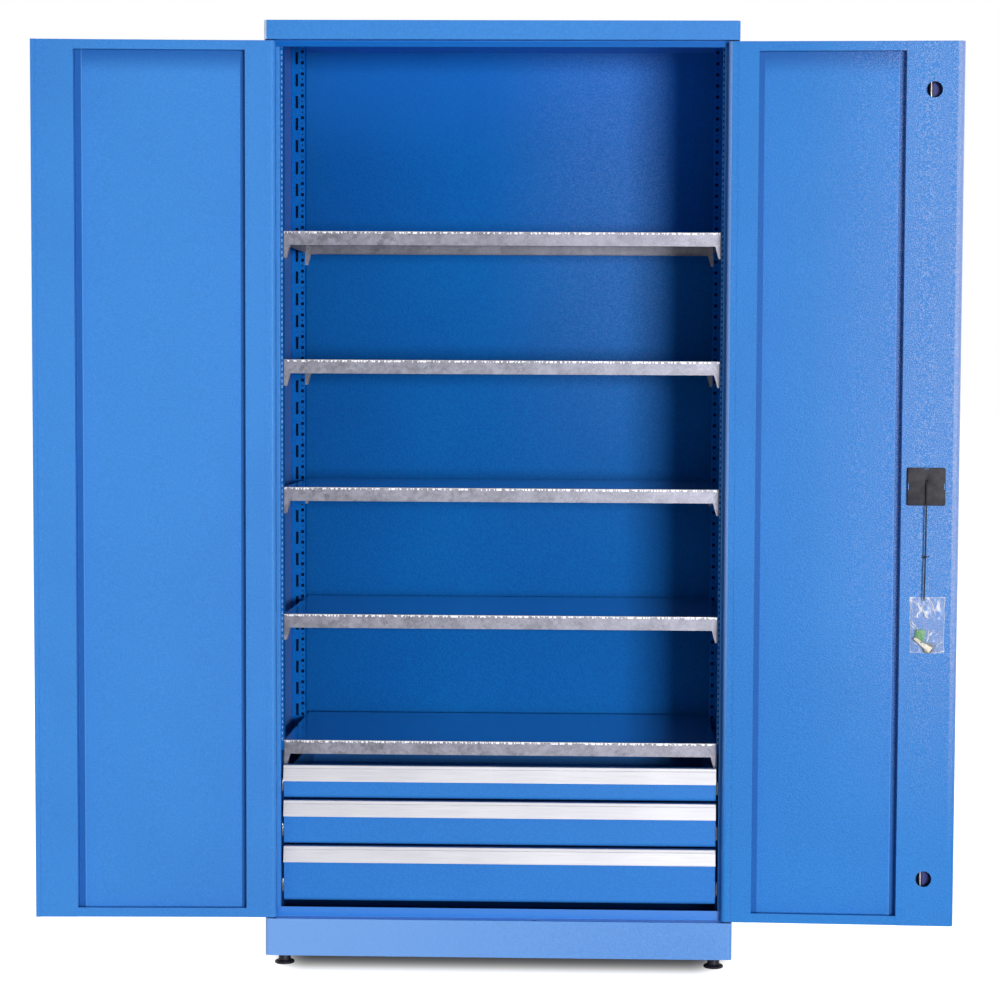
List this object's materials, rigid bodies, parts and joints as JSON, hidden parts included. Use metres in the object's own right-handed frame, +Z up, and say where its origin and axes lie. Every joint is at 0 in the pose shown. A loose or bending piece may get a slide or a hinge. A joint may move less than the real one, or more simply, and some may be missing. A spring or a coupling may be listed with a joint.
{
  "type": "material storage cabinet",
  "caption": "Tall steel storage cabinet with hinged double doors, clip-on shelves on slotted posts, drawers on telescopic slides, a rod lock and levelling feet.",
  "frame": {"origin": "on the floor under the middle of the carcass footprint", "axes": "+X to the right as seen from the front, +Y from the front to the back, +Z up"},
  "size_m": [1.9682, 0.5323, 2.023],
  "materials": {
    "blue_powder_coat": "fine-textured blue powder coat",
    "galvanised_sheet": "galvanised sheet, fine spangle",
    "aluminium_grip": "satin anodised extrusion",
    "zinc_steel": "bright zinc plate",
    "black_plastic": "black moulded plastic",
    "nickel_barrel": "nickel plate",
    "black_cord": "thin black cord",
    "clear_film": "clear film",
    "green_tag": "green plastic",
    "key_steel": "nickel-plated key blanks"
  },
  "bodies": {
    "carcass": {"roof_cap": "blue_powder_coat", "plinth_front": "blue_powder_coat", "plinth_rails": "blue_powder_coat", "floor_panel": "blue_powder_coat", "left_side_panel": "blue_powder_coat", "right_side_panel": "blue_powder_coat", "back_panel": "blue_powder_coat", "front_left_post": "blue_powder_coat", "front_right_post": "blue_powder_coat", "rear_left_post": "blue_powder_coat", "rear_right_post": "blue_powder_coat", "shelf_1": "galvanised_sheet", "shelf_2": "galvanised_sheet", "shelf_3": "galvanised_sheet", "shelf_4": "galvanised_sheet", "shelf_5": "galvanised_sheet", "shelf_clips": "galvanised_sheet", "hinge_pins": "zinc_steel", "foot_plates": "zinc_steel", "drawer_outer_rails": "zinc_steel"},
    "left_door": {"left_door_skin": "blue_powder_coat", "left_door_hinge_stile": "blue_powder_coat", "left_door_lock_stile": "blue_powder_coat", "left_door_bushes": "black_plastic"},
    "right_door": {"right_door_skin": "blue_powder_coat", "right_door_hinge_stile": "blue_powder_coat", "right_door_lock_stile": "blue_powder_coat", "right_door_bushes": "black_plastic", "lock_cover": "black_plastic", "handle_plate": "black_plastic", "lock_rod_guides": "black_plastic", "key_cord": "black_cord", "key_bag": "clear_film", "key_tag": "green_tag", "keys": "key_steel"},
    "door_handle": {"handle": "black_plastic", "lock_cam": "zinc_steel"},
    "lock_barrel": {"key_barrel": "nickel_barrel"},
    "upper_rod": {"upper_lock_rod": "zinc_steel"},
    "lower_rod": {"lower_lock_rod": "zinc_steel"},
    "drawer_1": {"drawer_1_box": "galvanised_sheet", "drawer_1_front": "blue_powder_coat", "drawer_1_grip": "aluminium_grip", "drawer_1_inner_rails": "zinc_steel"},
    "drawer_1_slides": {"drawer_1_middle_rails": "zinc_steel"},
    "drawer_2": {"drawer_2_box": "galvanised_sheet", "drawer_2_front": "blue_powder_coat", "drawer_2_grip": "aluminium_grip", "drawer_2_inner_rails": "zinc_steel"},
    "drawer_2_slides": {"drawer_2_middle_rails": "zinc_steel"},
    "drawer_3": {"drawer_3_box": "galvanised_sheet", "drawer_3_front": "blue_powder_coat", "drawer_3_grip": "aluminium_grip", "drawer_3_inner_rails": "zinc_steel"},
    "drawer_3_slides": {"drawer_3_middle_rails": "zinc_steel"},
    "front_left_foot_body": {"front_left_foot": "black_plastic"},
    "front_right_foot_body": {"front_right_foot": "black_plastic"},
    "rear_left_foot_body": {"rear_left_foot": "black_plastic"},
    "rear_right_foot_body": {"rear_right_foot": "black_plastic"}
  },
  "joints": [
    {"name": "left_door_hinge", "type": "hinge", "parent": "carcass", "child": "left_door", "pos_m": [-0.4905, -0.238, 1.043], "axis": [0, 0, -1], "range_deg": [-178, 2]},
    {"name": "right_door_hinge", "type": "hinge", "parent": "carcass", "child": "right_door", "pos_m": [0.4905, -0.238, 1.043], "axis": [0, 0, 1], "range_deg": [-178, 2]},
    {"name": "handle_turn", "type": "hinge", "parent": "right_door", "child": "door_handle", "pos_m": [0.90384, -0.23542, 1.046], "axis": [0.0349, 0.9994, 0], "range_deg": [-90, 0]},
    {"name": "key_turn", "type": "hinge", "parent": "door_handle", "child": "lock_barrel", "pos_m": [0.90429, -0.22243, 1.046], "axis": [0.0349, 0.9994, 0], "range_deg": [-90, 0]},
    {"name": "upper_rod_slide", "type": "slide", "parent": "right_door", "child": "upper_rod", "axis": [0, 0, 1], "range_m": [0, 0.018]},
    {"name": "lower_rod_slide", "type": "slide", "parent": "right_door", "child": "lower_rod", "axis": [0, 0, -1], "range_m": [0, 0.018]},
    {"name": "drawer_1_slide", "type": "slide", "parent": "carcass", "child": "drawer_1", "axis": [0, -1, 0], "range_m": [0, 0.36]},
    {"name": "drawer_1_rail_slide", "type": "slide", "parent": "carcass", "child": "drawer_1_slides", "axis": [0, -1, 0], "range_m": [0, 0.18]},
    {"name": "drawer_2_slide", "type": "slide", "parent": "carcass", "child": "drawer_2", "axis": [0, -1, 0], "range_m": [0, 0.36]},
    {"name": "drawer_2_rail_slide", "type": "slide", "parent": "carcass", "child": "drawer_2_slides", "axis": [0, -1, 0], "range_m": [0, 0.18]},
    {"name": "drawer_3_slide", "type": "slide", "parent": "carcass", "child": "drawer_3", "axis": [0, -1, 0], "range_m": [0, 0.36]},
    {"name": "drawer_3_rail_slide", "type": "slide", "parent": "carcass", "child": "drawer_3_slides", "axis": [0, -1, 0], "range_m": [0, 0.18]},
    {"name": "front_left_foot_screw", "type": "hinge", "parent": "carcass", "child": "front_left_foot_body", "pos_m": [-0.465, -0.218, 0.04], "axis": [0, 0, 1], "continuous": true},
    {"name": "front_right_foot_screw", "type": "hinge", "parent": "carcass", "child": "front_right_foot_body", "pos_m": [0.465, -0.218, 0.04], "axis": [0, 0, 1], "continuous": true},
    {"name": "rear_left_foot_screw", "type": "hinge", "parent": "carcass", "child": "rear_left_foot_body", "pos_m": [-0.465, 0.218, 0.04], "axis": [0, 0, 1], "continuous": true},
    {"name": "rear_right_foot_screw", "type": "hinge", "parent": "carcass", "child": "rear_right_foot_body", "pos_m": [0.465, 0.218, 0.04], "axis": [0, 0, 1], "continuous": true}
  ],
  "couplings": [
    {"joint": "upper_rod_slide", "follows": "handle_turn", "m_per_rad": -0.011459},
    {"joint": "lower_rod_slide", "follows": "handle_turn", "m_per_rad": -0.011459},
    {"joint": "drawer_1_rail_slide", "follows": "drawer_1_slide", "ratio": 0.5},
    {"joint": "drawer_2_rail_slide", "follows": "drawer_2_slide", "ratio": 0.5},
    {"joint": "drawer_3_rail_slide", "follows": "drawer_3_slide", "ratio": 0.5}
  ]
}
